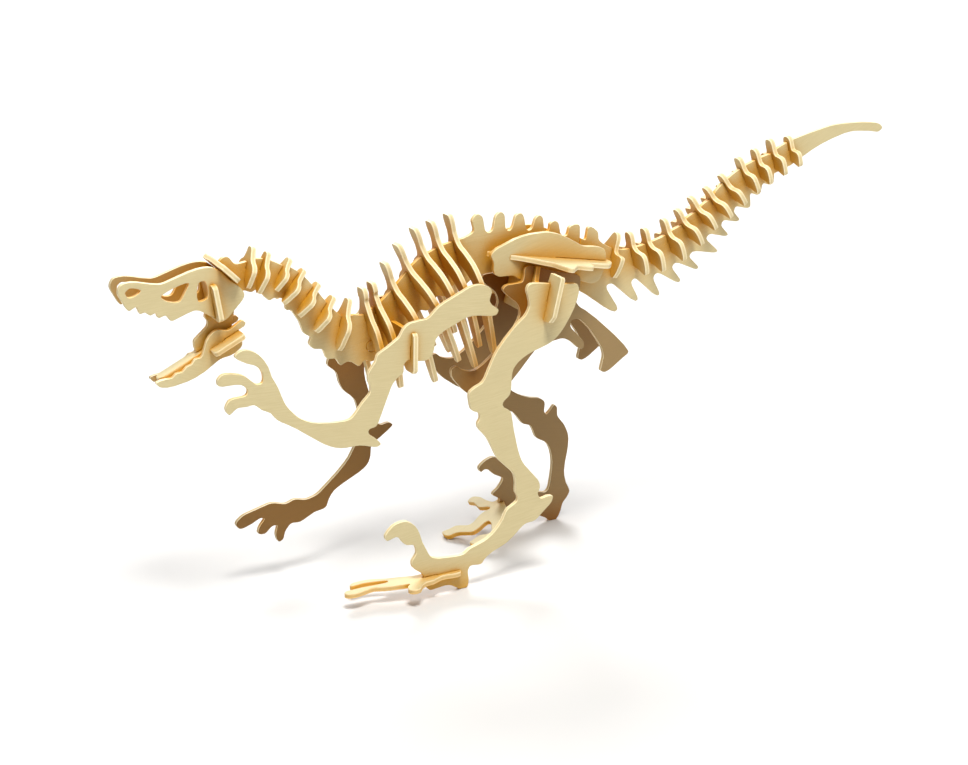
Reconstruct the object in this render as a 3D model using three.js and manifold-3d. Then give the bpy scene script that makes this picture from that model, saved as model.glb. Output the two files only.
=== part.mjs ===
// Slot-together plywood dinosaur skeleton, a model of a running two-legged dinosaur.
// Flat plates lie along the body (plane y = constant) and across it (a plane that holds
// the Y axis); each crossing is a halving joint, a slot in each of the two plates.
// Units are millimetres. +X runs to the tail, -Y is the animal's left, +Z is up, and the
// floor is z = 0.
import * as THREE from 'three';
import { mergeVertices } from 'three/addons/utils/BufferGeometryUtils.js';
import Module from 'manifold-3d';

const wasm = await Module();
wasm.setup();

// ---- driving dimensions ----
const PLY = 3;            // thickness of every plate
const GAP = 0.3;          // clearance on each side of a slot
const SKULL_Y = 7.25;     // middle of each skull plate
const JAW_Y = 5.5;        // middle of each jaw plate
const ILIUM_Y = 10.5;     // middle of each ilium plate
const PELVIS_Y = 13.9;    // middle of each pelvis plate
const ARM_Y = 28;         // middle of each arm plate
const LEG_Y = 35;         // middle of each leg plate
const FINE = 0.1;         // how far an outline may cut a curve's corner
const BOX_MIDDLE = [1.4, 4.5]; // middle of the drawn model's box, moved over the origin

const model = new THREE.Group();
const plates = new Map();

// ---- outlines ----
// A closed smooth curve through the given points, thinned where it is nearly straight.
function smooth(points, perSpan = 5) {
  const knots = points.map(([a, b]) => new THREE.Vector3(a, b, 0));
  const curve = new THREE.CatmullRomCurve3(knots, true, 'centripetal');
  const loop = [];
  for (let i = 0; i < knots.length * perSpan; i += 1) {
    const p = curve.getPoint(i / (knots.length * perSpan));
    loop.push([p.x, p.y]);
  }
  return thin(loop);
}

function offLine(p, a, b) {
  const dx = b[0] - a[0];
  const dy = b[1] - a[1];
  return Math.abs((p[0] - a[0]) * dy - (p[1] - a[1]) * dx) / Math.hypot(dx, dy);
}

// Keeps the fewest points of a loop that hold the curve to within FINE.
function thin(loop) {
  const kept = [loop[0]];
  let start = 0;
  for (let end = 2; end <= loop.length; end += 1) {
    const tip = loop[end % loop.length];
    let worst = 0;
    for (let k = start + 1; k < end; k += 1) {
      worst = Math.max(worst, offLine(loop[k], loop[start], tip));
    }
    if (worst > FINE || Math.hypot(tip[0] - loop[start][0], tip[1] - loop[start][1]) < 1e-6) {
      kept.push(loop[end - 1]);
      start = end - 1;
    }
  }
  return kept;
}

// A half outline given as (across, along) pairs, mirrored to the other side.
function mirrored(half) {
  const other = half.filter(([across]) => across > 0).map(([a, b]) => [-a, b]).reverse();
  return [...half, ...other];
}

function extruded(outline, holes = [], thickness = PLY) {
  const rim = outline.map(([a, b]) => new THREE.Vector2(a, b));
  const shape = new THREE.Shape(THREE.ShapeUtils.isClockWise(rim) ? rim.reverse() : rim);
  for (const hole of holes) {
    shape.holes.push(new THREE.Path(hole.map(([a, b]) => new THREE.Vector2(a, b))));
  }
  const body = new THREE.ExtrudeGeometry(shape, { depth: thickness, bevelEnabled: false, steps: 1 });
  return body.translate(0, 0, -thickness / 2);
}

// ---- solids ----
function solid(geometry) {
  const bare = geometry.clone();
  bare.deleteAttribute('normal');
  bare.deleteAttribute('uv');
  const merged = mergeVertices(bare, 1e-4);
  const vertProperties = new Float32Array(merged.attributes.position.array);
  const triVerts = new Uint32Array(merged.index.array);
  return new wasm.Manifold(new wasm.Mesh({ numProp: 3, vertProperties, triVerts }));
}

function geometryOf(body) {
  const mesh = body.getMesh();
  const geometry = new THREE.BufferGeometry();
  geometry.setAttribute('position', new THREE.BufferAttribute(mesh.vertProperties, 3));
  geometry.setIndex(new THREE.BufferAttribute(mesh.triVerts, 1));
  return geometry;
}

// Frame of a plate along the body: its drawing's axes are world X and Z.
function along(y) {
  return new THREE.Matrix4().makeRotationX(Math.PI / 2).setPosition(0, y, 0);
}

// Frame of a plate across the body: its drawing's axes are world Y and "up", where up
// leans towards the head by `lean` degrees, and its origin is (x, 0, z).
function across([x, z], lean) {
  const t = THREE.MathUtils.degToRad(lean);
  const up = new THREE.Vector3(-Math.sin(t), 0, Math.cos(t));
  const side = new THREE.Vector3(0, 1, 0);
  const frame = new THREE.Matrix4().makeBasis(side, up, new THREE.Vector3().crossVectors(side, up));
  return frame.setPosition(x, 0, z);
}

function plate(name, frame, outline, holes = []) {
  plates.set(name, { frame, body: solid(extruded(outline, holes)) });
}

// Takes a box away from a plate; the box is drawn in the frame of a crossing plate.
function cutBox(name, frame, [a0, a1], [b0, b1], halfDepth) {
  const box = new THREE.BoxGeometry(a1 - a0, b1 - b0, halfDepth * 2);
  box.translate((a0 + a1) / 2, (b0 + b1) / 2, 0);
  box.applyMatrix4(frame);
  box.applyMatrix4(plates.get(name).frame.clone().invert());
  plates.get(name).body = plates.get(name).body.subtract(solid(box));
}

// Halving joint where the cross plate meets a body-wise plate at height y. The two slots
// meet at `meet`; the body-wise plate's slot runs from there to `sideEnd`, and the cross
// plate's slot to `crossEnd`, both measured along the cross plate's up direction.
function halve(side, cross, y, meet, sideEnd, crossEnd) {
  const { frame } = plates.get(cross);
  const wide = PLY / 2 + GAP;
  const span = (end) => (end > meet ? [meet - GAP / 2, end] : [end, meet + GAP / 2]);
  cutBox(side, frame, [y - PLY, y + PLY], span(sideEnd), wide);
  cutBox(cross, frame, [y - wide, y + wide], span(crossEnd), PLY);
}

// ---- skull and jaw ----
const skullOutline = smooth([
  [-250, 196], [-248, 200], [-242, 201], [-233, 199], [-226, 198], [-216, 201], [-207, 203.5],
  [-199, 204], [-193, 201.5], [-188, 196], [-182, 191], [-179.5, 186], [-185, 179], [-192.5, 173],
  [-199, 176.5], [-207, 181], [-215, 179], [-221.5, 177], [-224.5, 180.3], [-228.5, 179.5],
  [-230, 182.3], [-233, 181.5], [-236, 183.5], [-238.5, 183], [-240.5, 187], [-244.5, 185.5],
  [-247.5, 190]]);
const nostril = smooth([[-246, 195.5], [-243.5, 197.7], [-237.5, 195.8], [-242, 192.7], [-244.8, 193]], 4);
const eye = smooth([[-226.5, 191], [-222, 193.8], [-210.8, 196.6], [-213.5, 191], [-216.5, 187],
  [-223, 188]], 4);
const rearHole = smooth([[-206.5, 189], [-205, 196], [-202, 196.8], [-200.3, 193], [-200.7, 187],
  [-205.5, 185.8]], 4);
for (const [side, sign] of [['left', -1], ['right', 1]]) {
  plate(`skull_${side}`, along(sign * SKULL_Y), skullOutline, [nostril, eye, rearHole]);
}

const jawOutline = smooth([
  [-231, 142.7], [-226, 144.2], [-222, 144.4], [-219.5, 146.5], [-216, 147], [-213.5, 149.5],
  [-210.5, 150.5], [-208.5, 153], [-205, 153.8], [-203, 158], [-201, 163.5], [-195.5, 168],
  [-189, 167], [-185, 169], [-180.8, 171.5], [-178.8, 169.8], [-182, 164.7], [-181.2, 157.5],
  [-187, 152.9], [-194, 151.2], [-203.5, 145.2], [-210.5, 142], [-218.5, 140], [-225, 139.3],
  [-229.5, 140.4]]);
plate('jaw_left', along(-JAW_Y), jawOutline);
plate('jaw_right', along(JAW_Y), jawOutline);

const jawTabs = 15;
const jawThroat = JAW_Y - PLY / 2 - GAP;
plate('jaw_floor', across([-191, 160.5], 116), mirrored([
  [0, 41.5], [2.4, 40.6], [jawThroat, 38], [jawThroat, 9.5], [jawTabs - 1.5, 9.5], [jawTabs, 8],
  [jawTabs, -8.5], [jawTabs - 1.5, -10], [0, -10]]));

plate('cheek_bar', across([-196.2, 184], 9), mirrored([
  [0, 10.5], [11.5, 10.5], [13.2, 9.6], [13.8, 8], [13.8, -8], [13.2, -9.6], [11.5, -10.5],
  [0, -10.5]]));

plate('skull_crest', across([-188.4, 199.8], 45), smooth(mirrored([
  [0, 9.5], [5, 9], [10, 7], [15, 7.2], [15.5, 2], [14.5, -5], [10, -7.5], [5, -8.5], [0, -8.2]])));

// ---- spine: three plates in the middle plane, hooked end to end ----
const hook = (x, z, r) => Array.from({ length: 13 }, (_, i) => {
  const turn = THREE.MathUtils.degToRad(-140 + (280 * i) / 12);
  return [x - r * Math.cos(turn), z - r * Math.sin(turn)];
});

const neckTop = [
  [-193, 199], [-191.3, 203.5], [-188.6, 206.5], [-185.6, 206.6], [-181.6, 202.3], [-174.2, 203],
  [-168.5, 203.7], [-163, 202.6], [-152.7, 197.5], [-147.4, 195.3], [-139.6, 188.3], [-131, 177],
  [-123.7, 168.4], [-118.6, 164], [-112, 164.4], [-106.6, 163.5], [-100.6, 167]];
const neckUnder = [
  [-95.5, 137], [-102.3, 135.2], [-106, 136.6], [-109.5, 133.6], [-114, 136.6], [-117, 137.3],
  [-120.8, 135.7], [-124, 140], [-129, 140.8], [-131.8, 146.5], [-137.4, 147.9], [-139.6, 151],
  [-138.6, 154.5], [-142.5, 157.5], [-145.2, 164.5], [-148, 169], [-149.8, 172], [-152.6, 172.4],
  [-154, 178.6], [-159, 180.3], [-162.5, 179.2], [-166, 182.5], [-168.7, 186.6], [-172.9, 185.2],
  [-177.5, 186.6], [-181.5, 183], [-183.5, 174]];
const hanger = [
  [-206.9, 158], [-206.8, 161.8], [-203, 165.5], [-199.5, 168.5], [-198.6, 171.5], [-200.2, 174.5],
  [-199, 177.5], [-195.5, 178.8], [-192.3, 181], [-191.8, 187], [-193.2, 193]];
const neckLoop = [
  ...smoothOpen(neckTop), ...smoothOpen(neckUnder), [-185.6, 165.3], [-187.9, 164],
  [-187.2, 162.6],
  [-198.4, 157.2], [-199.3, 158.4], [-205.6, 155.4], ...smoothOpen(hanger)];
plate('neck_spine', along(0), neckLoop);

// An open smooth run through points, with both ends kept sharp.
function smoothOpen(points, perSpan = 5) {
  const knots = points.map(([a, b]) => new THREE.Vector3(a, b, 0));
  const curve = new THREE.CatmullRomCurve3(knots, false, 'centripetal');
  const run = curve.getPoints((points.length - 1) * perSpan).map((p) => [p.x, p.y]);
  const last = run.length - 1;
  const kept = [run[0]];
  let start = 0;
  for (let end = 2; end <= last; end += 1) {
    let worst = 0;
    for (let k = start + 1; k < end; k += 1) {
      worst = Math.max(worst, offLine(run[k], run[start], run[end]));
    }
    if (worst > FINE) {
      kept.push(run[end - 1]);
      start = end - 1;
    }
  }
  return [...kept, run[last]];
}

const backTop = [
  [-100.1, 167.4], [-94.9, 170.3], [-84, 180.3], [-75.7, 188.8], [-70.9, 192.4], [-65.5, 195],
  [-54.8, 198.8], [-41, 201.6], [-36.2, 204.5], [-37.2, 211], [-34, 214.2], [-30.8, 212.5],
  [-28.6, 203.8], [-26.6, 202.5], [-24, 203.8], [-21.8, 211.8], [-18.8, 213.9], [-16.4, 212],
  [-15.3, 203.5], [-13, 202.2], [-11.2, 203.8], [-8.7, 210.8], [-5.7, 211.9], [-3.8, 210],
  [-1.8, 202], [0, 200.9], [2, 202.2], [4.3, 207.8], [6.8, 209.3], [8.8, 207.6], [10.2, 199.8],
  [12, 198.4], [13.3, 199.8], [14, 203.3], [16.7, 204.8], [19.3, 203.4], [21, 196.8], [23.5, 194.8],
  [25.4, 195.4], [27, 199.8], [30.2, 201.2], [33.6, 200.3], [34, 193]];
const backUnder = [
  [29.5, 166], [18, 172], [0, 177], [-20, 178.5], [-36, 177], [-43, 172.5], [-48.5, 174.5],
  [-54, 168], [-60, 168.5], [-66, 161], [-71, 161.5], [-77, 153.5], [-83, 153.5], [-88, 146],
  [-92.5, 143], [-95.2, 137.2]];
const tailJoint = [32.5, 177.4];
plate('back_spine', along(0), [
  ...smoothOpen(backTop), [33.2, 185], [30.7, 171.5], ...smoothOpen(backUnder)]);

// Teeth under the tail: each has a tip that leans back and a rounded valley behind it.
const tailTop = [
  [34.6, 192.4], [37.8, 191.2], [39.8, 198.3], [41.5, 198.6], [46.3, 194.8], [47.2, 190], [55, 184.5],
  [63.4, 182], [73.4, 182.6], [85.5, 185], [93.5, 187.5], [98.2, 190], [105.6, 193], [109, 197],
  [115.7, 200.2], [119.5, 203.6], [125.8, 207.3], [129, 211.4], [137.8, 218.6], [148.7, 224.7],
  [162.5, 229.5], [169.5, 231.2], [174, 234.2], [185.5, 238.5], [201.2, 242.2], [214, 244.6],
  [227.3, 244.9], [242.2, 244.1], [250.6, 242.2], [252.8, 239.7], [250, 237.4], [242.6, 238.4],
  [227.7, 239.2], [216, 236.6], [203.3, 232.2], [193.4, 227.3], [183.6, 222]];
const tailTeeth = [
  [171.5, 218], [171.2, 212.3], [169, 211.2], [163.5, 212.3], [161.8, 206.8], [159.8, 205.8],
  [154.6, 207], [154.6, 199], [152.6, 198.2], [144, 199.8], [143, 197], [147, 191.6], [145.6, 190.6],
  [135.3, 192], [134, 189.3], [139, 183], [137.4, 182.2], [125.5, 184.5], [123.4, 182.2],
  [131.8, 173.4], [130.2, 172.6], [113.5, 174.8], [111.6, 172.2], [118.2, 164.6], [116.8, 163.6],
  [101.5, 169.3], [99.3, 167], [105.4, 157.8], [103.8, 156.8], [88.5, 164.4], [86, 162],
  [90.6, 151], [89, 150.2], [72.8, 163], [70.4, 161], [75.2, 150], [73.6, 148.8], [56.5, 161.8],
  [53, 160.6], [61, 145.6], [59, 144], [40, 156.5], [33.5, 160.8], [30.2, 165.5]];
plate('tail_spine', along(0), [
  ...smoothOpen(tailTop), ...smoothOpen(tailTeeth), [31.1, 171.5], [33.6, 185]]);

// Hooks that lock the spine plates end to end in their common plane.
function hookInto(from, into, [x, z], r) {
  const { body } = plates.get(from);
  const knob = (extra) => {
    const ring = hook(x, z, r + extra);
    const rear = ring[ring.length - 1];
    const front = ring[0];
    return [...ring, [rear[0] + 4, rear[1]], [front[0] + 4, front[1]]];
  };
  plates.get(into).body = plates.get(into).body.subtract(solid(extruded(knob(GAP), [], PLY + 2)));
  plates.get(from).body = body.add(solid(extruded(knob(0))));
}
hookInto('back_spine', 'neck_spine', [-101.3, 144.5], 3.4);
hookInto('tail_spine', 'back_spine', [tailJoint[0] - 6.2, tailJoint[1] - 3], 3.4);

// ---- neck vertebrae: top point, lean towards the head, length, slot depth ----
const neckRow = [
  [[-170.7, 210.3], -16, 22, 12.5, 11], [[-161.9, 206.2], -23, 22.5, 10.5, 11],
  [[-149.2, 201.1], -36, 19, 10.5, 10], [[-141.1, 193.8], -44, 22, 9.5, 11],
  [[-132.6, 185], -44, 21.5, 9.5, 11], [[-123.9, 176.2], -39, 22, 11, 11.5],
  [[-114.5, 173.8], -19, 29, 16.5, 12]];
neckRow.forEach(([top, lean, long, meet, wide], i) => {
  const name = `neck_vertebra_${i + 1}`;
  const k = wide / 12;
  const v = long / 22;
  plate(name, across(top, lean), smooth(mirrored([
    [0, 0.2], [2.6 * k, -0.6], [3.8 * k, -3.5 * v], [6 * k, -7 * v], [10.5 * k, -9.5 * v],
    [12 * k, -12.5 * v], [10.6 * k, -16.5 * v], [9.4 * k, -20 * v], [7, -long], [4.6, -long + 1],
    [3, -long + 4], [0, -long + 5.5]]), 3));
  halve('neck_spine', name, 0, -meet, 8, -long - 4);
});

// ---- ribs: top point, lean, length, half width ----
const ribRow = [
  [[-106.4, 179.8], 8.5, 58, 15, 20.5], [[-100.7, 182.4], 10.8, 62, 18, 19.5],
  [[-92.7, 192.9], 19, 74, 22, 24], [[-84.8, 202.6], 24, 76, 22.5, 24],
  [[-74.2, 210.8], 20.5, 88, 23, 24.5], [[-63.6, 213.7], 17.5, 77.5, 22, 24],
  [[-52.5, 216.6], 14.5, 84, 23.5, 24.5]];
ribRow.forEach(([top, lean, long, wide, meet], i) => {
  const name = `rib_${i + 1}`;
  const k = wide / 22;
  const v = long / 80;
  const neck = meet - 9;
  plate(name, across(top, lean), smooth(mirrored([
    [0, -0.3], [3.4, -0.5], [4.4, -2], [4.5, -6], [3.6, -neck + 4], [6, -neck - 3],
    [12 * k, -neck - 7], [18.5 * k, -neck - 12.5], [22.5 * k, -neck - 20], [24 * k, -neck - 29],
    [22.8 * k, -58 * v], [19.5 * k, -long + 6], [17.4 * k, -long], [14.5 * k, -long + 0.3],
    [13.8 * k, -long + 8], [14.8 * k, -62 * v], [15.4 * k, -neck - 32], [13 * k, -neck - 24],
    [7 * k, -neck - 18], [0, -meet - 6]]), 4));
  halve(i === 0 ? 'neck_spine' : 'back_spine', name, 0, -meet, -meet + 20, -meet - 9);
});

// ---- shoulder bar and arms ----
plate('shoulder_bar', across([-88.5, 146.5], -1), mirrored([
  [0, 11.5], [ARM_Y + 3.4, 11.5], [ARM_Y + 5, 9.8], [ARM_Y + 5, -10], [ARM_Y + 3.2, -12],
  [ARM_Y - 5, -12], [ARM_Y - 9, -9], [12, -6], [0, -6]]));

const shoulderTop = [
  [-111.5, 144], [-110, 148], [-105.5, 150.6], [-100.3, 153.8], [-96.5, 156.6], [-94.2, 160.6],
  [-90.5, 163.4], [-84.4, 164.4], [-79, 165], [-72, 171], [-65, 174.5], [-58, 177.7],
  [-51.8, 180.2], [-46.5, 180.6], [-41.5, 179], [-38.9, 176], [-40.2, 170.3], [-38.6, 167.6],
  [-34.6, 164.2], [-36, 161.6], [-40, 161.3], [-47.4, 162.6], [-54.5, 162.4], [-60, 160.3],
  [-71, 155.2], [-74.4, 152], [-75.4, 146.7], [-77.2, 142.4], [-80.5, 140.6], [-86, 141],
  [-91.8, 142.2], [-94.2, 140]];
plate('arm_left', along(-ARM_Y), smooth([
  ...shoulderTop, [-94.8, 135.4], [-98.8, 132.4], [-101.5, 129.4], [-104.2, 123.5],
  [-107.5, 115.5], [-111.8, 106.4], [-116.2, 105], [-116.6, 102.8], [-110.7, 97.6], [-109.3, 95.2],
  [-111.5, 94], [-122, 96.5], [-132, 96.5], [-137, 97.6], [-144, 101], [-153, 107.5],
  [-162, 113.8], [-170.8, 119.2], [-174.5, 123.7], [-179.5, 126.3], [-184, 129.8], [-188, 129.4],
  [-193.5, 129.4], [-198.3, 126.4], [-200.3, 130], [-197.5, 134.6], [-188.2, 136], [-187.2, 138.6],
  [-191, 142.4], [-203.6, 143.5], [-204.2, 146.5], [-201, 149.6], [-191, 148.2], [-187.6, 146.3],
  [-181.5, 141.2], [-178.6, 142], [-178.6, 147.5], [-181.5, 151.4], [-189, 154.8], [-193.8, 158.6],
  [-191, 161.2], [-187, 161.6], [-182, 159.4], [-178.3, 155.9], [-175, 150.6], [-173, 144.2],
  [-170, 138.5], [-165.6, 127.3], [-161.7, 122.2], [-157.3, 118], [-151, 114.8], [-142, 113],
  [-129, 112.6], [-126, 114], [-119.6, 121.6], [-115, 126.6], [-115, 130.5], [-116.2, 134],
  [-115.6, 138.4]], 4));
plate('arm_right', along(ARM_Y), smooth([
  ...shoulderTop, [-92.6, 135], [-94.2, 124], [-94, 117], [-91.6, 107.5], [-88.5, 96], [-87, 88],
  [-84.6, 85.6], [-79.3, 86.2], [-76.6, 84.4], [-79.6, 81.4], [-86, 77], [-90.4, 73.6],
  [-91.3, 67], [-93, 62.6], [-97.3, 58.8], [-106.3, 54.3], [-115.3, 49], [-118.6, 44.6],
  [-121, 39.4], [-128.4, 37.5], [-137.3, 33.2], [-143.2, 33], [-146.9, 28.8], [-148.6, 24],
  [-151.3, 23.2], [-153, 27.6], [-152, 33.4], [-154.9, 33.5], [-159.9, 29.7], [-163.8, 30.6],
  [-163, 34.4], [-159.8, 39], [-162, 39.9], [-167, 37.6], [-175, 35.5], [-177.4, 38.8],
  [-173.5, 43], [-163, 46.2], [-155, 48.1], [-146.2, 46.2], [-140.3, 47.9], [-133.2, 46.6],
  [-126.1, 48.6], [-119.1, 54.2], [-111.1, 61.4], [-105.1, 68.2], [-102.1, 73.6], [-98.7, 80], [-97.7, 88],
  [-99, 98], [-101, 104], [-108, 111], [-110.6, 116.5], [-112, 122], [-117.4, 127.6],
  [-116.4, 132.4], [-115.6, 138.4]], 4));
for (const y of [-ARM_Y, ARM_Y]) {
  halve(y < 0 ? 'arm_left' : 'arm_right', 'shoulder_bar', y, 4, -16, 16);
}
halve('back_spine', 'shoulder_bar', 0, 6, -16, 16);

// ---- hips: ilium, shelf, pelvis, hip bar ----
const iliumOutline = smooth([
  [-30.4, 191.6], [-27.7, 194.6], [-20, 197.7], [-13.4, 200], [-6.5, 201.3], [0.4, 201.5],
  [6, 201.5], [13, 199.8], [18.6, 197.3], [25, 193.5], [30.7, 190.4], [40, 189], [45, 186.4],
  [46, 179.6], [44, 173], [41.5, 168.6], [37, 167], [28, 169.8], [18, 173.6], [5, 175.4],
  [-8, 175], [-12, 175.4], [-15.3, 177.8], [-20, 178.3], [-25.5, 178.6], [-28.6, 181.4],
  [-28.8, 187.4]], 4);
plate('ilium_left', along(-ILIUM_Y), iliumOutline);
plate('ilium_right', along(ILIUM_Y), iliumOutline);

// Shelf drawn from its front (+) to its rear (-), with wavy wings outside the ilium plates.
plate('pelvic_shelf', across([10, 184.4], 80), smooth(mirrored([
  [0, 34], [3, 35], [6, 41], [8.7, 38], [12.2, 29], [14, 24.5], [19, 17.2], [23.5, 12], [27, 8.4], [33, 6.7],
  [39.5, 4.2], [40, 1.7], [36, -1.8], [29.5, -8], [30.5, -12], [30, -17.4], [21.5, -19.5],
  [20.8, -23], [20.5, -33], [15, -38.5], [9, -40.5], [4, -40], [0, -38]]), 4));

const pelvisOutline = smooth([
  [-10, 182.4], [-8, 183.7], [-4.3, 183], [2.8, 181], [8.4, 179], [18, 176.5], [26.3, 173.4],
  [26.4, 166], [24.4, 158.2], [26.4, 155], [30.8, 152], [37.8, 146.4], [44.5, 140.3],
  [50.9, 134.3], [59.5, 124.9], [60.9, 121.8], [56, 118.2], [45.2, 111.7], [42, 113],
  [42.8, 118], [43.6, 122], [42.6, 126.3], [38, 134], [31, 143.2], [25.5, 147.4], [21.4, 147],
  [20.6, 143.6], [26.7, 136.4], [30, 131.6], [29.2, 128.7], [26.5, 129.2], [20.6, 134.3],
  [15.4, 136.7], [8.5, 136], [2, 136], [-4, 131], [-14, 120], [-26, 109], [-36, 105.5],
  [-46.7, 111.4], [-53, 117.3], [-57.8, 124.5], [-57.3, 128.3], [-54.6, 129.5], [-50.7, 126.8],
  [-44, 125.2], [-38.9, 127.1], [-31, 133], [-22, 141.5], [-15.2, 150], [-13.1, 156],
  [-15.3, 162.3], [-20.8, 167], [-24.2, 171.4], [-22.4, 173.6], [-15.8, 174], [-11.6, 174.8],
  [-10.4, 178]], 4);
plate('pelvis_left', along(-PELVIS_Y), pelvisOutline);
plate('pelvis_right', along(PELVIS_Y), pelvisOutline);

const barLean = -13.5;
plate('hip_bar', across([-5.6, 167.2], barLean), mirrored([
  [0, 16.2], [PELVIS_Y + 2.5, 16.2], [PELVIS_Y + 4, 7.5], [LEG_Y - 3, 7.5], [LEG_Y - 1.5, 16.2],
  [LEG_Y + 10, 16.2], [LEG_Y + 11, 15], [LEG_Y + 11, -7], [LEG_Y + 8, -11],
  [LEG_Y - 4, -11.5], [LEG_Y - 9, -10], [18, -12.5], [0, -12.5]]));

for (const [side, sign] of [['left', -1], ['right', 1]]) {
  halve(`ilium_${side}`, 'pelvic_shelf', sign * ILIUM_Y, -2, -44, 45);
  halve(`pelvis_${side}`, 'hip_bar', sign * PELVIS_Y, 3, 22, -16);
  halve(`ilium_${side}`, 'hip_bar', sign * ILIUM_Y, 12, 2, 18);
}
halve('back_spine', 'pelvic_shelf', 0, 5, -40, 50);
cutBox('tail_spine', plates.get('pelvic_shelf').frame, [-PLY, PLY], [-41, -20], PLY / 2 + GAP);
halve('back_spine', 'hip_bar', 0, 14, 8, 18);

// Plate behind the hips: stepped on one side, sloping on the other.
plate('sacral_plate', across([60, 192.6], -11), smooth([
  [0.5, 0.2], [-2.6, -0.4], [-3.8, -3], [-3.6, -10.5], [-5, -12], [-12, -13], [-12.5, -15],
  [-7.4, -26], [-4.6, -26], [-2, -21], [2, -21], [4.6, -26], [7.4, -26], [12.5, -14.5],
  [11.6, -11.5], [6, -5.5]], 3));
halve('tail_spine', 'sacral_plate', 0, -15.5, 8, -30);

// ---- tail vertebrae: top point, lean, length, half width ----
const tailRow = [
  [[68.5, 192.1], 12, 24.5, 15], [[79.1, 193.3], 14, 25, 15.5], [[92.5, 197.7], 18, 25, 15],
  [[101.9, 202.7], 28, 23.5, 14.5], [[111.2, 209.4], 32, 22.5, 13.5], [[122, 214.2], 34, 21.5, 13.5],
  [[132.8, 220.9], 33, 21, 13], [[144.9, 230.4], 24, 22.5, 12], [[156.6, 234.6], 18, 21.5, 11.5],
  [[167.7, 239.6], 16, 22, 11.5], [[181.2, 240.2], 13, 18, 10.5]];
const tailMeet = [15.5, 15.5, 15.5, 14, 13.5, 13, 12, 13, 12.5, 13, 9];
tailRow.forEach(([top, lean, long, wide], i) => {
  const name = `tail_vertebra_${i + 1}`;
  const k = wide / 16;
  const v = long / 25.5;
  plate(name, across(top, lean), smooth(mirrored([
    [0, 0.3], [2.6, -0.6], [3.5, -3.5 * v], [3.7, -8.5 * v], [6.5 * k, -11.2 * v],
    [13.8 * k, -12.4 * v], [16 * k, -14.4 * v], [15.7 * k, -24 * v], [14.2 * k, -long],
    [7 * k, -23.3 * v], [0, -22.3 * v]]), 4));
  halve('tail_spine', name, 0, -tailMeet[i], 8, -long - 4);
});

// ---- legs and feet ----
const thighTop = [
  [-20, 176], [-18, 179], [-3, 177.4], [6, 176.4], [12.6, 175.4], [14, 172]];
plate('leg_left', along(-LEG_Y), smooth([
  ...thighTop, [12, 163.8], [7.4, 155], [2, 147.6], [-3.5, 143], [-19, 137.6], [-25, 134],
  [-28.5, 130], [-29.6, 125], [-29.9, 118], [-31, 114.6], [-35, 111], [-35.2, 108.4],
  [-30.2, 104.4], [-28.9, 98], [-27, 88], [-22.6, 73], [-16, 64.4], [-11.3, 58.4], [-10.5, 54.5],
  [-11.9, 50.5], [-9.7, 47.3], [-5, 48], [-1.8, 47.4], [-2.6, 44], [-8.7, 38.3], [-13.6, 34.2],
  [-20.6, 32.9], [-26.5, 28], [-32.5, 23.4], [-41.9, 19.4], [-46.6, 16.3], [-49.4, 13.2],
  [-56.4, 13.2], [-58, 10.5], [-57.5, 5], [-58.2, 0.9], [-59.8, -0.4], [-62.6, -0.4], [-65.6, 1.4],
  [-69.4, 3.5], [-73, 4], [-77.5, 3.4], [-82.8, 3.2], [-84.8, 5.4], [-87.2, 13.7],
  [-93.4, 19.3], [-94, 22.8], [-91, 27.8], [-92.6, 33], [-97.3, 34.1],
  [-99.5, 35.8], [-101.9, 39.4], [-104.2, 40.2], [-107.5, 39.1], [-109.7, 39], [-110.5, 41.6],
  [-107.8, 45.4], [-103.8, 48], [-97.6, 48.7], [-92.6, 45.8], [-89.6, 41.4], [-87.2, 34],
  [-84.2, 27.8], [-82, 24], [-78, 22.2], [-72, 21.5], [-61, 21.4], [-57, 24], [-51.3, 25.8],
  [-45.3, 28.2], [-39.6, 32.7], [-34.9, 38.6], [-32.3, 43.8], [-25.6, 48.4], [-25.2, 51],
  [-26.7, 54], [-26.7, 60.7], [-28.2, 66], [-33.8, 72], [-38.5, 77], [-45.3, 90.4], [-51.4, 98.2],
  [-51.6, 100.4], [-50, 103.4], [-50.6, 106.6], [-55, 109], [-56.6, 113.6], [-56.6, 119.8],
  [-53, 122.5], [-48, 125], [-43.6, 133.5], [-40, 140.5], [-35.5, 146.6], [-26.5, 156.2],
  [-20.6, 161], [-18.2, 166], [-18.6, 170.4]], 4));
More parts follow.
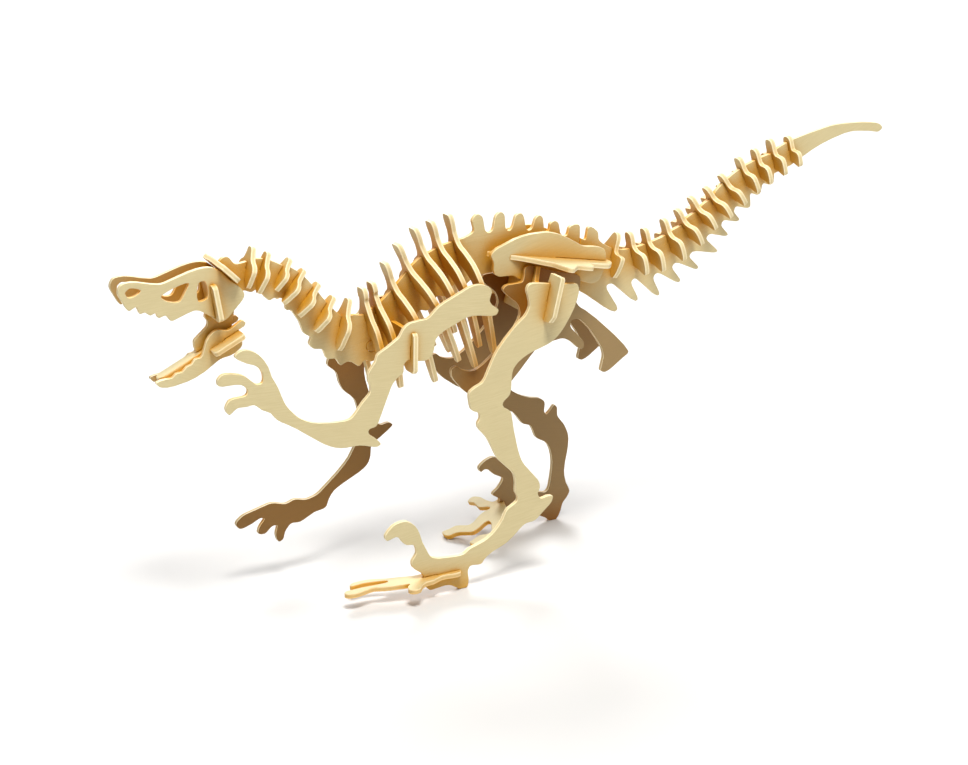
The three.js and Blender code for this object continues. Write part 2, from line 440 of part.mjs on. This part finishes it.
plate('leg_right', along(LEG_Y), smooth([
  ...thighTop, [13, 163], [11, 150], [8, 135], [5.5, 118], [4.5, 106], [4, 98], [6.4, 92.2],
  [12.9, 87.6], [20.4, 84.6], [27.6, 83], [30.6, 80], [30.4, 74], [32, 72], [34.6, 74],
  [37.6, 77.2], [39.4, 75.4], [39.9, 69.8], [44.8, 63], [47.8, 55.4], [47.6, 47], [45.8, 37.7],
  [45.2, 30.6], [46.6, 24], [49.2, 18], [47.9, 14.6], [44.2, 10], [43, 5.5], [40.8, 1.2],
  [38.8, -0.4], [35.4, -0.4], [31.8, 2.6], [27.2, 4.9], [23.5, 7.6], [18, 9.4],
  [8, 9.2], [0, 8.6], [-3.8, 10], [-4.4, 13], [-2.2, 16], [-1, 21],
  [-3.4, 22.9], [-5.8, 24.6], [-5, 26.2], [-1.6, 28.8], [1.4, 34.4], [-1.8, 36.4],
  [-5.6, 38.6], [-8.8, 41.8], [-11.6, 42.4],
  [-14, 41.2], [-15.4, 44], [-10.9, 48.2], [-4.6, 49.6], [1.2, 44.4], [9.6, 36.2], [14, 30],
  [20, 23], [27, 21], [31.6, 19.9], [33.8, 21.6], [35.6, 29.8], [36.4, 39.3], [35, 47.6],
  [32, 53], [24.8, 57.6], [22.6, 62.6], [20.4, 66.2], [14.9, 68.6], [11.6, 73], [7.8, 77.2],
  [3.3, 79], [0.4, 83.6], [-4.4, 93], [-9, 104], [-13.4, 118], [-16.2, 131], [-17.6, 140],
  [-17, 150], [-16.4, 160], [-17.6, 169]], 4));

// Feet, drawn around the leg's plane: +a points to the animal's right, b from heel to toes.
function foot(name, [x, z], lean, y, outline) {
  const frame = across([x, z], lean).multiply(new THREE.Matrix4().makeTranslation(y, 0, 0));
  plate(name, frame, smooth(outline, 4));
}
foot('foot_left', [-73, 10.6], 92, -LEG_Y, [
  [0, -10], [-4.4, -8.6], [-5.2, -5], [-4.2, 0], [-4.4, 4.5], [-6.8, 9.5], [-7.4, 15], [-10, 18.7],
  [-13, 21], [-13.9, 24.5], [-12, 27.2], [-10.5, 27.6], [-7, 26.3], [-4.6, 24], [-3.4, 28],
  [-2.4, 33], [-0.6, 39], [1.6, 44], [1, 48], [0, 52], [-0.6, 57], [0.6, 60.4], [3.3, 61.6],
  [5.1, 59.5], [5.2, 55], [5.2, 49.5], [4.6, 44.4], [4.2, 38.9], [4.6, 33.6], [6.6, 33.8],
  [8.4, 38.6], [10.2, 47], [9.7, 51.5], [10, 54.3], [11.5, 54.8], [13.5, 52.2], [14, 48.6],
  [13.6, 43], [12, 38], [9.6, 33.5], [8.3, 28.4], [6.7, 23.5], [5, 18.6], [4.6, 13], [4.4, 0],
  [4.4, -8.6]]);
foot('foot_right', [1.4, 17.7], 113, LEG_Y, [
  [4.1, 3.2], [10.4, 5.6], [17.9, 6.4], [22.9, 9.6], [21.5, 13.8], [19.3, 13.5], [16.4, 12.1],
  [12.4, 12.3], [8.1, 12.5], [1.3, 8.2], [-0.5, 8.8], [0.1, 12.3], [-0.5, 16.5], [-2.5, 20.6],
  [-3.9, 24.2], [-3.4, 26.8], [3.7, 32.2], [4.9, 36.8], [6.2, 41.5], [3.8, 42.2], [0.6, 42],
  [-1.8, 40.4], [-3.3, 36.4], [-6.4, 33.3], [-12.5, 28.9], [-12.9, 25.3], [-11.9, 21.4],
  [-11.2, 18.1], [-11.8, 16.5], [-15.5, 16.4], [-19.8, 18.6], [-23.6, 20.6], [-24.5, 23.1],
  [-20.8, 27.7], [-21, 31.7], [-21.3, 35.6], [-24, 35.7], [-26.8, 33.9], [-28.5, 28], [-28, 22],
  [-22, 14], [-14, 7], [-8.8, 1.2], [-1.9, -0.9], [2, -8.4], [4.6, -8.8], [4.6, -3]]);
halve('leg_left', 'foot_left', 0, 5, 26, -14);
halve('leg_right', 'foot_right', 0, 0.5, 26, -14);

for (const y of [-LEG_Y, LEG_Y]) {
  halve(y < 0 ? 'leg_left' : 'leg_right', 'hip_bar', y, 0, 20, -14);
}

// The edges that stand on the floor are cut flat.
for (const name of ['leg_left', 'leg_right', 'foot_right']) {
  cutBox(name, along(0), [-120, 80], [-6, 0], 80);
}

// ---- joints of the head ----
for (const [side, sign] of [['left', -1], ['right', 1]]) {
  halve(`skull_${side}`, 'cheek_bar', sign * SKULL_Y, 0, -16, 14);
  cutBox(`skull_${side}`, plates.get('skull_crest').frame, [sign * SKULL_Y - PLY, sign * SKULL_Y + PLY],
    [-9, 10], PLY / 2 + GAP);
  halve(`jaw_${side}`, 'jaw_floor', sign * JAW_Y, 0, -14, 12);
}
cutBox('cheek_bar', plates.get('cheek_bar').frame, [-PLY / 2 - GAP, PLY / 2 + GAP], [-12, -3.6], PLY);
halve('neck_spine', 'skull_crest', 0, 0, 12, -12);
cutBox('jaw_floor', plates.get('jaw_floor').frame, [-PLY / 2 - GAP, PLY / 2 + GAP], [-4.6, 9], PLY);

// ---- the assembly ----
const woodTone = { rim: '#dcc795', mid: '#d8c390', far: '#d2bb86' };
for (const [name, { frame, body }] of plates) {
  const tone = name.endsWith('_right') ? woodTone.far : woodTone[name.includes('spine') ? 'mid' : 'rim'];
  const wood = new THREE.MeshStandardMaterial({ color: tone, roughness: 0.72, metalness: 0 });
  const mesh = new THREE.Mesh(geometryOf(body), wood);
  mesh.name = name;
  mesh.geometry.computeVertexNormals();
  frame.decompose(mesh.position, mesh.quaternion, mesh.scale);
  mesh.position.x -= BOX_MIDDLE[0];
  mesh.position.y -= BOX_MIDDLE[1];
  model.add(mesh);
}

export default model;
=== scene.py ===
"""Plywood dinosaur skeleton on a pale floor: materials, rounded edges, light and camera.

Every plate is a CAD node. The node keeps its shape and gets a softened edge and a
procedural three-ply wood that is drawn in the plate's own sheet: along the grain, across
the grain, and through the thickness, all in millimetres.
"""
import math
import random

import bpy
import numpy as np
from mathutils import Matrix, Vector

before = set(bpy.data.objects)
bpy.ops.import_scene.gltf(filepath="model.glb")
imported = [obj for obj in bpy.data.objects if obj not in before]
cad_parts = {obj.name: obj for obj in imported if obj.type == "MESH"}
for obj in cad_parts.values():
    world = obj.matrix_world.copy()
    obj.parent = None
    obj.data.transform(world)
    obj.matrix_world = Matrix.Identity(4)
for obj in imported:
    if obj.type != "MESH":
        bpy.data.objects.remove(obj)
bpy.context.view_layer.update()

MM = 0.001
PLY = 3.0                   # thickness of every plate, in mm
EDGE_ROUND = 0.32 * MM      # radius of the sanded edge
SAME_POINT = 0.01 * MM      # vertices closer than this are one
FLAT_ANGLE = 0.5            # faces that meet within this angle are one face, in degrees
EDGE_ANGLE = 50             # edges sharper than this are sanded, in degrees
SHEET_SPAN = 4000           # plates are cut from places this far apart in the stock, in mm
GRAIN_TURN = 25             # how far the grain may run off a plate's length, in degrees
SENSOR = 36.0               # camera sensor width, in mm
LENS = 74.4                 # focal length, in mm


# ---- plates: sheet coordinates and rounded edges ----
def thickness_direction(mesh):
    """The normal shared by the largest area of faces: a plate's two broad sides."""
    area = {}
    for face in mesh.polygons:
        n = face.normal
        lead = max(n, key=abs)
        key = tuple(round(c * math.copysign(1, lead), 2) for c in n)
        total, best = area.get(key, (0.0, Vector()))
        area[key] = (total + face.area, best + n * face.area * math.copysign(1, lead))
    return max(area.values(), key=lambda entry: entry[0])[1].normalized()


def store(mesh, name, kind, values):
    """Keeps one value per vertex under the name that the material reads."""
    attribute = mesh.attributes.new(name, kind, "POINT")
    field = "vector" if kind == "FLOAT_VECTOR" else "value"
    attribute.data.foreach_set(field, np.asarray(values, np.float32).ravel())


def add_sheet_coordinates(name, plate, shade):
    """Gives each vertex its place in the plywood sheet, in mm, and the plate its tone.

    `tone` is a random darkness and `shade` is the plate's share of the painted shade given to boards
    that stand in shadow.
    """
    mesh = plate.data
    rng = random.Random(name)
    normal = thickness_direction(mesh)
    side = Vector((1, 0, 0)) if abs(normal.y) > 0.9 else normal.cross(Vector((0, 1, 0)))
    turn = math.radians(rng.uniform(-GRAIN_TURN, GRAIN_TURN))
    along = side.normalized() * math.cos(turn) + normal.cross(side).normalized() * math.sin(turn)
    across = normal.cross(along)
    points = np.array([v.co for v in mesh.vertices]) / MM
    depth = points @ np.array(normal)
    depth -= (depth.min() + depth.max()) / 2
    u = points @ np.array(along) + rng.uniform(0, SHEET_SPAN)
    v = points @ np.array(across) + rng.uniform(0, SHEET_SPAN)
    store(mesh, "sheet", "FLOAT_VECTOR", np.column_stack([u, v, depth]))
    count = len(mesh.vertices)
    store(mesh, "tone", "FLOAT", np.full(count, rng.random()))
    store(mesh, "shade", "FLOAT", np.full(count, shade))


def round_edges(plate, has_windows):
    """Joins the split vertices, clears the flat triangulation and rounds every sharp edge.

    A face with windows in it keeps its triangles, because one polygon can't go round a hole.
    """
    plate.data.polygons.foreach_set("use_smooth", [True] * len(plate.data.polygons))
    weld = plate.modifiers.new("weld", "WELD")
    weld.merge_threshold = SAME_POINT
    if not has_windows:
        flat = plate.modifiers.new("clear_flat", "DECIMATE")
        flat.decimate_type = "DISSOLVE"
        flat.angle_limit = math.radians(FLAT_ANGLE)
    bevel = plate.modifiers.new("sanded_edge", "BEVEL")
    bevel.width = EDGE_ROUND
    bevel.segments = 2
    bevel.limit_method = "ANGLE"
    bevel.angle_limit = math.radians(EDGE_ANGLE)
    bevel.use_clamp_overlap = False
    bevel.miter_outer = "MITER_ARC"
    shading = plate.modifiers.new("shading", "WEIGHTED_NORMAL")
    shading.weight = 60
    shading.keep_sharp = False


# ---- node helpers ----
class Graph:
    """Short calls for building a material's nodes."""

    def __init__(self, name):
        self.material = bpy.data.materials.new(name)
        self.material.use_nodes = True
        self.tree = self.material.node_tree
        self.tree.nodes.clear()

    def node(self, kind, inputs=None, **settings):
        made = self.tree.nodes.new(kind)
        for key, value in settings.items():
            setattr(made, key, value)
        for key, value in (inputs or {}).items():
            if isinstance(value, bpy.types.NodeSocket):
                self.tree.links.new(value, made.inputs[key])
            else:
                made.inputs[key].default_value = value
        return made

    def attribute(self, name, output):
        return self.node("ShaderNodeAttribute", attribute_name=name).outputs[output]

    def math(self, operation, a, b=0.0):
        return self.node("ShaderNodeMath", {0: a, 1: b}, operation=operation).outputs[0]

    def scaled(self, vector, factors):
        made = self.node("ShaderNodeVectorMath", {0: vector, 1: factors}, operation="MULTIPLY")
        return made.outputs[0]

    def noise(self, vector, detail, roughness=0.5):
        inputs = {"Vector": vector, "Scale": 1.0, "Detail": detail, "Roughness": roughness}
        return self.node("ShaderNodeTexNoise", inputs).outputs["Fac"]

    def ramp(self, value, low, high, to_low=0.0, to_high=1.0):
        inputs = {"Value": value, "From Min": low, "From Max": high, "To Min": to_low, "To Max": to_high}
        made = self.node("ShaderNodeMapRange", inputs, interpolation_type="SMOOTHSTEP")
        return made.outputs["Result"]

    def mix(self, factor, a, b, blend="MIX"):
        made = self.node("ShaderNodeMix", data_type="RGBA", blend_type=blend)
        for key, value in ((0, factor), (6, a), (7, b)):
            if isinstance(value, bpy.types.NodeSocket):
                self.tree.links.new(value, made.inputs[key])
            else:
                made.inputs[key].default_value = value
        return made.outputs[2]


# ---- wood: colours, the plies, and how strongly each effect shows ----
FACE_LIGHT = (0.665, 0.57, 0.325, 1)
FACE_DARK = (0.61, 0.515, 0.28, 1)
STREAK = (0.50, 0.40, 0.22, 1)      # pores and dark fibres
SANDED_AND_HIGHLIGHT = (0.96, 0.87, 0.62, 1)      # the rounded rim: light sanded wood with a painted highlight
SIDE_OUTER = (0.92, 0.78, 0.48, 1)  # cut side of the two outer plies
SIDE_CORE = (0.80, 0.66, 0.37, 1)   # cut side of the middle ply
GLUE = (0.60, 0.45, 0.20, 1)
CREVICE_PAINTED_SHADE = (0.92, 0.54, 0.06, 1)     # painted shade: multiplies the wood where plates stand close
PAINTED_SHADE_BROWN = (0.32, 0.175, 0.05, 1)    # painted shade: multiplies the wood of a board that stands in shadow
CORE_HALF = 0.5             # half thickness of the middle ply, in mm
GLUE_EDGE = (0.02, 0.12)    # a glue line fades out between these distances, in mm
RIM_START = (0.5, 0.3)      # the rim's colour fades in this far below the face, in mm
FACE_START = (0.06, 0.01)   # the face's colour fades in this far below the face, in mm
PAINTED_SHADE_REACH = 26 * MM        # a surface gets no painted shade if nothing stands within this distance

# Noise cells per mm along the grain, across it, and through the thickness.
BROAD_CELLS = (0.012, 0.05, 0.05)
GRAIN_CELLS = (0.07, 1.3, 0.6)
FIBRE_CELLS = (0.5, 9.0, 5.0)
PORE_CELLS = (0.16, 3.2, 2.0)
CORE_CELLS = (6.0, 0.8, 6.0)
SIDE_CELLS = (0.7, 6.0, 6.0)

BROAD_SHARE = 0.3
PORE_SHARE = 0.18
FIBRE_SHARE = 0.16
TONE_SHARE = 0.16
GLUE_SHARE = 0.5
SIDE_STREAK_SHARE = 0.3
CORE_STREAK_SHARE = 0.45
# share of the painted shade on a board's cut sides
PAINTED_SHADE_SIDE_SHARE = 0.5
PORE_DEPTH = 0.3            # share of the bump height


def plywood():
    """Pale three-ply: sanded faces, rounded rims light as sanded wood with a painted highlight, layered
    and browner cut sides, painted shade in crevices and on boards in shadow.
    """
    g = Graph("plywood")
    sheet = g.attribute("sheet", "Vector")
    depth = g.math("ABSOLUTE", g.node("ShaderNodeSeparateXYZ", {0: sheet}).outputs["Z"])

    broad = g.noise(g.scaled(sheet, BROAD_CELLS), 3)
    grain = g.noise(g.scaled(sheet, GRAIN_CELLS), 6, 0.6)
    fibre = g.noise(g.scaled(sheet, FIBRE_CELLS), 3, 0.6)
    pores = g.ramp(g.noise(g.scaled(sheet, PORE_CELLS), 2), 0.66, 0.74)

    face = g.mix(g.ramp(grain, 0.32, 0.66), FACE_DARK, FACE_LIGHT)
    face = g.mix(g.ramp(broad, 0.35, 0.65, 0.0, BROAD_SHARE), face, FACE_DARK)
    face = g.mix(g.math("MULTIPLY", pores, PORE_SHARE), face, STREAK)
    face = g.mix(g.ramp(fibre, 0.3, 0.7, 0.0, FIBRE_SHARE), face, STREAK)

    # The cut side: two outer plies along the grain, the middle one across it.
    core_grain = g.noise(g.scaled(sheet, CORE_CELLS), 3)
    side_grain = g.noise(g.scaled(sheet, SIDE_CELLS), 3)
    outer = g.mix(g.ramp(side_grain, 0.3, 0.7, 0.0, SIDE_STREAK_SHARE), SIDE_OUTER, FACE_DARK)
    core = g.mix(g.ramp(core_grain, 0.3, 0.7, 0.0, CORE_STREAK_SHARE), SIDE_CORE, STREAK)
    waver = g.math("MULTIPLY", g.math("SUBTRACT", broad, 0.5), 0.5)
    layer = g.math("ADD", depth, waver)
    side = g.mix(g.ramp(layer, CORE_HALF - 0.05, CORE_HALF + 0.05), core, outer)
    from_glue = g.math("ABSOLUTE", g.math("SUBTRACT", layer, CORE_HALF))
    glue_line = g.math("SUBTRACT", 1.0, g.ramp(from_glue, *GLUE_EDGE))
    side = g.mix(g.math("MULTIPLY", glue_line, GLUE_SHARE), side, GLUE)

    # Painted shade on boards that stand in shadow darkens their faces and, less, their cut sides. The
    # sanded rim stays light.
    shade = g.attribute("shade", "Fac")
    face = g.mix(shade, face, g.mix(1.0, face, PAINTED_SHADE_BROWN, "MULTIPLY"))
    painted_side_shade = g.math("MULTIPLY", shade, PAINTED_SHADE_SIDE_SHARE)
    side = g.mix(painted_side_shade, side, g.mix(1.0, side, PAINTED_SHADE_BROWN, "MULTIPLY"))

    half = PLY / 2
    # The rim's colour is light sanded wood with a painted highlight.
    wood = g.mix(g.ramp(depth, half - RIM_START[0], half - RIM_START[1]), side, SANDED_AND_HIGHLIGHT)
    wood = g.mix(g.ramp(depth, half - FACE_START[0], half - FACE_START[1]), wood, face)

    # Each board has its own tone, and painted shade makes the wood darker and warmer where plates stand
    # close.
    tone = g.attribute("tone", "Fac")
    wood = g.mix(g.math("MULTIPLY", tone, TONE_SHARE), wood, FACE_DARK)
    openness = g.node("ShaderNodeAmbientOcclusion", {"Distance": PAINTED_SHADE_REACH}, samples=6)
    crevice_shade_share = g.ramp(openness.outputs["AO"], 0.45, 0.97, 1.0, 0.0)
    wood = g.mix(crevice_shade_share, wood, g.mix(1.0, wood, CREVICE_PAINTED_SHADE, "MULTIPLY"))

    rough = g.ramp(grain, 0.3, 0.7, 0.52, 0.68)
    height = g.math("ADD", g.math("MULTIPLY", grain, 0.5), g.math("MULTIPLY", fibre, 0.5))
    height = g.math("SUBTRACT", height, g.math("MULTIPLY", pores, PORE_DEPTH))
    bump = g.node("ShaderNodeBump", {"Height": height, "Strength": 0.25, "Distance": 0.12 * MM})
    shader = g.node("ShaderNodeBsdfPrincipled", {
        "Base Color": wood, "Roughness": rough, "Normal": bump.outputs[0], "Specular IOR Level": 0.35})
    g.node("ShaderNodeOutputMaterial", {"Surface": shader.outputs[0]})
    return g.material


PAPER_GREY = (0.67, 0.67, 0.675, 1)
PAPER_WHITE = (0.685, 0.685, 0.685, 1)
PAPER_CELLS = (9.0, 9.0, 9.0)       # noise cells per metre


def floor_paper():
    """Matt pale paper with a very faint mottle."""
    g = Graph("floor_paper")
    place = g.node("ShaderNodeTexCoord").outputs["Object"]
    mottle = g.noise(g.scaled(place, PAPER_CELLS), 4)
    tint = g.mix(g.ramp(mottle, 0.3, 0.7), PAPER_GREY, PAPER_WHITE)
    shader = g.node("ShaderNodeBsdfPrincipled", {"Base Color": tint, "Roughness": 0.9})
    g.node("ShaderNodeOutputMaterial", {"Surface": shader.outputs[0]})
    return g.material


# ---- the object ----
# Painted shade on the boards that stand in shadow, as a share of the full painted shade; all others get
# none.
PAINTED_SHADE_BOARDS = {
    "arm_right": 1.0, "leg_right": 0.85, "pelvis_right": 0.9, "pelvis_left": 0.85,
    "skull_right": 0.5, "jaw_right": 0.4}

PLATES_WITH_WINDOWS = ("skull_left", "skull_right", "jaw_floor")

wood = plywood()
for name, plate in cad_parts.items():
    add_sheet_coordinates(name, plate, PAINTED_SHADE_BOARDS.get(name, 0.0))
    round_edges(plate, name in PLATES_WITH_WINDOWS)
    plate.data.materials.clear()
    plate.data.materials.append(wood)


# ---- stage: floor, lights, sky and camera; places are in metres ----
FLOOR_SIZE = 8.0
FLOOR_DROP = 0.2 * MM       # the floor lies this far under the feet
SKY_TINT = (1.0, 0.985, 0.96, 1)
SKY_STRENGTH = 0.32
OBJECT_MIDDLE = (0, 0, 0.1)
CAMERA_PLACE = (-0.5412, -1.007, 0.4771)
CAMERA_AIM = (-0.0304, -0.0045, 0.1115)

# Name, place, what it faces, width across, power in watts, colour.
LIGHTS = [
    ("key", (-0.2, -0.55, 1.6), OBJECT_MIDDLE, 0.6, 28, (1.0, 0.98, 0.94)),
    ("fill", (0.9, -1.6, 0.8), OBJECT_MIDDLE, 1.2, 4, (1.0, 0.98, 0.95)),
    ("back", (0.8, 2.9, 2.2), (0.3, 1.9, 0), 1.8, 150, (1.0, 1.0, 1.0))]


def add_floor():
    bpy.ops.mesh.primitive_plane_add(size=FLOOR_SIZE, location=(0, 0, -FLOOR_DROP))
    floor = bpy.context.object
    floor.name = "floor"
    floor.data.materials.append(floor_paper())


def aim(thing, target):
    thing.rotation_euler = (Vector(target) - thing.location).to_track_quat("-Z", "Y").to_euler()


def add_light(name, place, target, size, power, colour):
    data = bpy.data.lights.new(name, "AREA")
    data.shape = "DISK"
    data.size = size
    data.energy = power
    data.color = colour
    light = bpy.data.objects.new(name, data)
    light.location = place
    aim(light, target)
    bpy.context.scene.collection.objects.link(light)


def add_sky():
    world = bpy.data.worlds.new("studio")
    world.use_nodes = True
    background = world.node_tree.nodes["Background"]
    background.inputs["Color"].default_value = SKY_TINT
    background.inputs["Strength"].default_value = SKY_STRENGTH
    bpy.context.scene.world = world


def add_camera(place, target):
    data = bpy.data.cameras.new("camera")
    data.sensor_width = SENSOR
    data.lens = LENS
    camera = bpy.data.objects.new("camera", data)
    camera.location = place
    aim(camera, target)
    bpy.context.scene.collection.objects.link(camera)
    bpy.context.scene.camera = camera


add_floor()
add_sky()
for light in LIGHTS:
    add_light(*light)
add_camera(CAMERA_PLACE, CAMERA_AIM)
bpy.context.scene.view_settings.view_transform = "Standard"
